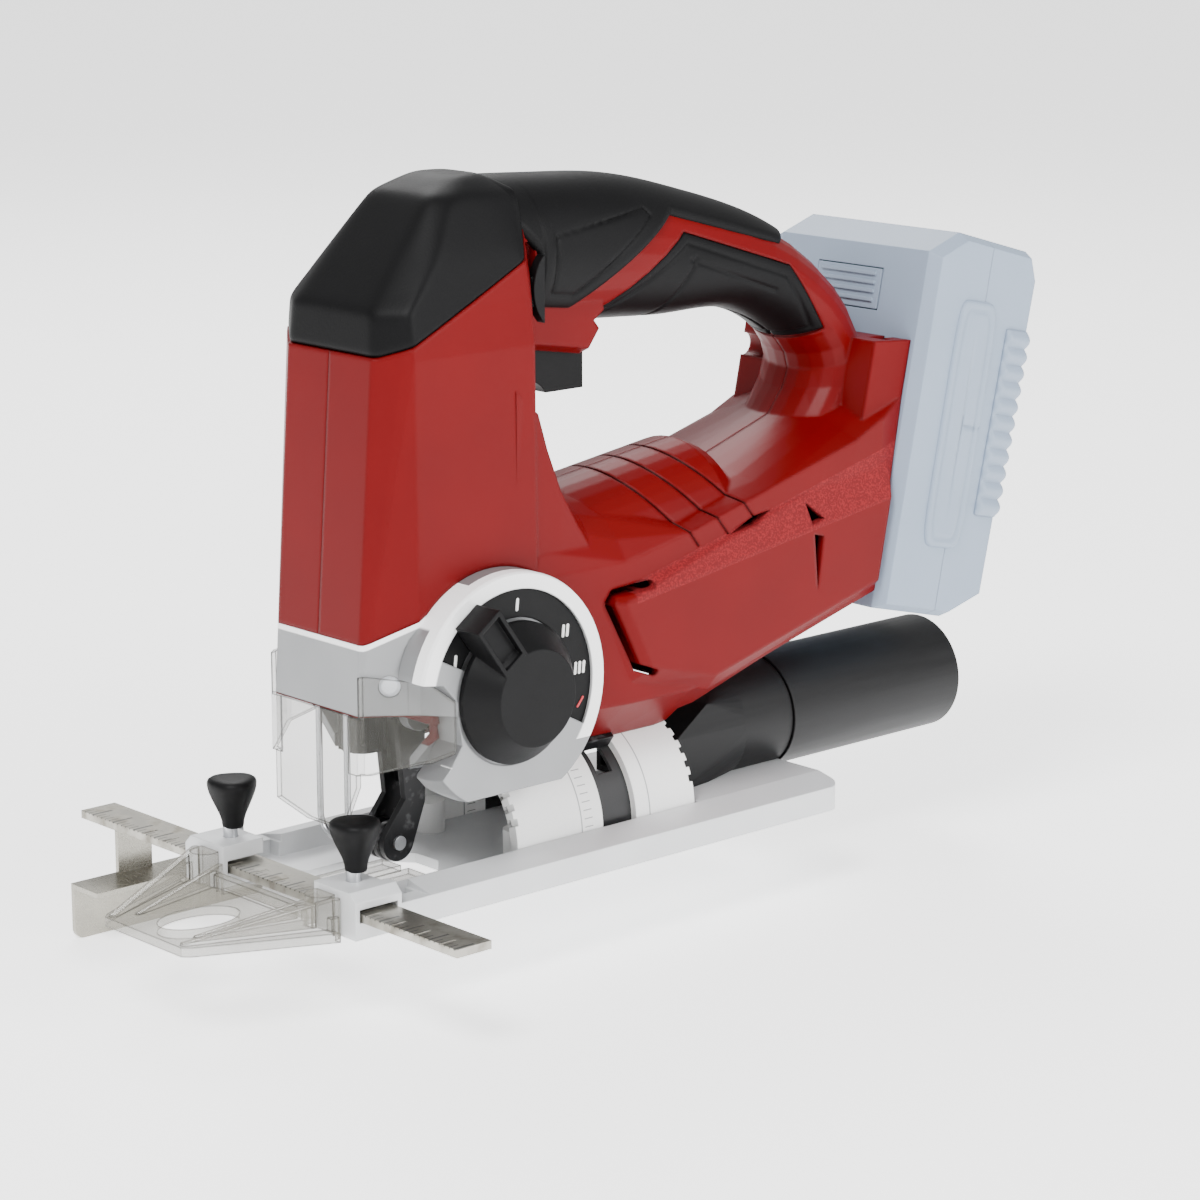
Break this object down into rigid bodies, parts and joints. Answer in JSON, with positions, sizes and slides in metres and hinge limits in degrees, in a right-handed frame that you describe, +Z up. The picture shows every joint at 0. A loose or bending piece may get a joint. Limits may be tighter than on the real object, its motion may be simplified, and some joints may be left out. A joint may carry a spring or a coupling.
{
  "type": "cordless jigsaw",
  "caption": "Cordless pendulum jigsaw with a D handle, tilting sole, chip guard, dial, parallel guide, clear front shoe, dust spout and slide-on battery.",
  "frame": {"origin": "middle of the sole's underside, on the bevel plane of the tool", "axes": "-X is the cutting direction, +Z is up from the work, -Y is the side with the pendulum dial"},
  "size_m": [0.3089, 0.167, 0.2166],
  "materials": {
    "red_plastic": "satin",
    "soft_black": "matt",
    "silver_plastic": "satin silver paint",
    "black_plastic": "fine texture",
    "lens": "clear",
    "clear_plastic": "clear",
    "steel": "turned",
    "black_steel": "black oxide",
    "nickel_steel": "nickel plated",
    "cast_alloy": "cast and painted",
    "bronze": "sintered",
    "board": "satin",
    "white_plastic": "satin",
    "pack_plastic": "satin",
    "cell_sleeve": "shrink sleeve"
  },
  "bodies": {
    "housing": {"housing_left": "red_plastic", "housing_right": "red_plastic", "head_cap": "soft_black", "handle_grip_top": "soft_black", "handle_grip_left": "soft_black", "handle_grip_right": "soft_black", "nose_cover": "silver_plastic", "dial_plate": "black_plastic", "led_lens": "lens", "wire_guard": "steel", "gear_frame": "cast_alloy", "plunger_bushes": "bronze", "gear_axle": "steel", "fork_pin": "steel", "bevel_saddle": "black_steel", "bevel_screw": "steel", "motor_can": "steel", "motor_bearings": "steel", "switch_module": "black_plastic", "control_board": "board", "terminal_block": "black_plastic", "housing_screws": "steel"},
    "rotor": {"armature": "steel", "motor_fan": "black_plastic", "pinion": "steel"},
    "crank": {"crank_gear": "steel", "crank_roller": "steel"},
    "plunger": {"scotch_yoke": "steel", "plunger_rod": "steel", "clamp_body": "black_steel"},
    "clamp_ring": {"clamp_collar": "black_plastic"},
    "fork": {"guide_fork": "black_steel", "roller_pin": "steel"},
    "roller": {"guide_roller": "black_steel"},
    "dial": {"dial_knob": "black_plastic", "dial_camshaft": "steel"},
    "trigger_body": {"trigger": "black_plastic", "trigger_spring": "steel"},
    "lock_bar": {"lock_off_bar": "black_plastic"},
    "guard": {"chip_guard": "clear_plastic"},
    "sole": {"sole_plate": "cast_alloy", "bevel_drum": "white_plastic", "drum_screws": "steel", "dust_duct": "black_plastic"},
    "shoe": {"front_shoe": "clear_plastic"},
    "guide": {"guide_rail": "nickel_steel", "fence_plate": "nickel_steel"},
    "thumb_left": {"screw_left": "steel", "knob_left": "black_plastic"},
    "thumb_right": {"screw_right": "steel", "knob_right": "black_plastic"},
    "spout": {"dust_spout": "black_plastic"},
    "battery": {"pack_front": "pack_plastic", "pack_rear": "pack_plastic", "pack_cells": "cell_sleeve"},
    "pack_release": {"pack_button": "pack_plastic"}
  },
  "joints": [
    {"name": "armature_spin", "type": "hinge", "parent": "housing", "child": "rotor", "pos_m": [0, 0, 0.082], "axis": [1, 0, 0], "range_deg": [-585, 585]},
    {"name": "crank_turn", "type": "hinge", "parent": "housing", "child": "crank", "pos_m": [-0.046, 0, 0.106], "axis": [1, 0, 0], "range_deg": [-90.2, 90.2]},
    {"name": "plunger_stroke", "type": "slide", "parent": "housing", "child": "plunger", "axis": [0, 0, 1], "range_m": [-0.0115, 0.0115]},
    {"name": "clamp_twist", "type": "hinge", "parent": "plunger", "child": "clamp_ring", "pos_m": [-0.058, 0, 0.045], "axis": [0, 0, 1], "range_deg": [0, 50], "stiffness_Nm_per_rad": 0.05, "springref_deg": -17.19},
    {"name": "fork_swing", "type": "hinge", "parent": "housing", "child": "fork", "pos_m": [-0.0455, 0, 0.048], "axis": [0, 1, 0], "range_deg": [0, 2.5]},
    {"name": "roller_spin", "type": "hinge", "parent": "fork", "child": "roller", "pos_m": [-0.0503, 0, 0.0112], "axis": [0, 1, 0], "continuous": true},
    {"name": "dial_turn", "type": "hinge", "parent": "housing", "child": "dial", "pos_m": [-0.035, -0.03, 0.0572], "axis": [0, 1, 0], "range_deg": [0, 111]},
    {"name": "trigger_squeeze", "type": "slide", "parent": "housing", "child": "trigger_body", "axis": [0, 0, 1], "range_m": [0, 0.005], "stiffness_N_per_m": 600, "springref_m": -0.002, "deforming": ["trigger_spring"]},
    {"name": "lock_push", "type": "slide", "parent": "housing", "child": "lock_bar", "axis": [0, 1, 0], "range_m": [-0.003, 0.003], "stiffness_N_per_m": 300},
    {"name": "guard_slide", "type": "slide", "parent": "housing", "child": "guard", "axis": [-1, 0, 0], "range_m": [0, 0.02]},
    {"name": "sole_tilt", "type": "hinge", "parent": "housing", "child": "sole", "pos_m": [0, 0, 0.008], "axis": [1, 0, 0], "range_deg": [-47, 47]},
    {"name": "shoe_slide", "type": "slide", "parent": "sole", "child": "shoe", "axis": [-1, 0, 0], "range_m": [0, 0.03]},
    {"name": "guide_slide", "type": "slide", "parent": "sole", "child": "guide", "axis": [0, 1, 0], "range_m": [-0.02, 0.03]},
    {"name": "thumb_left_turn", "type": "hinge", "parent": "sole", "child": "thumb_left", "pos_m": [-0.08325, -0.027, 0.01], "axis": [0, 0, 1], "range_deg": [0, 720]},
    {"name": "thumb_right_turn", "type": "hinge", "parent": "sole", "child": "thumb_right", "pos_m": [-0.08325, 0.027, 0.01], "axis": [0, 0, 1], "range_deg": [0, 720]},
    {"name": "spout_slide", "type": "slide", "parent": "sole", "child": "spout", "axis": [1, 0, 0], "range_m": [0, 0.012]},
    {"name": "battery_slide", "type": "slide", "parent": "housing", "child": "battery", "axis": [0.2079, 0, 0.9781], "range_m": [0, 0.07]},
    {"name": "release_press", "type": "slide", "parent": "battery", "child": "pack_release", "axis": [0.9781, 0, -0.2079], "range_m": [0, 0.0015], "stiffness_N_per_m": 500}
  ],
  "couplings": [
    {"joint": "crank_turn", "follows": "armature_spin", "ratio": -0.15385},
    {"joint": "plunger_stroke", "follows": "armature_spin", "m_per_rad": -0.0011258}
  ]
}
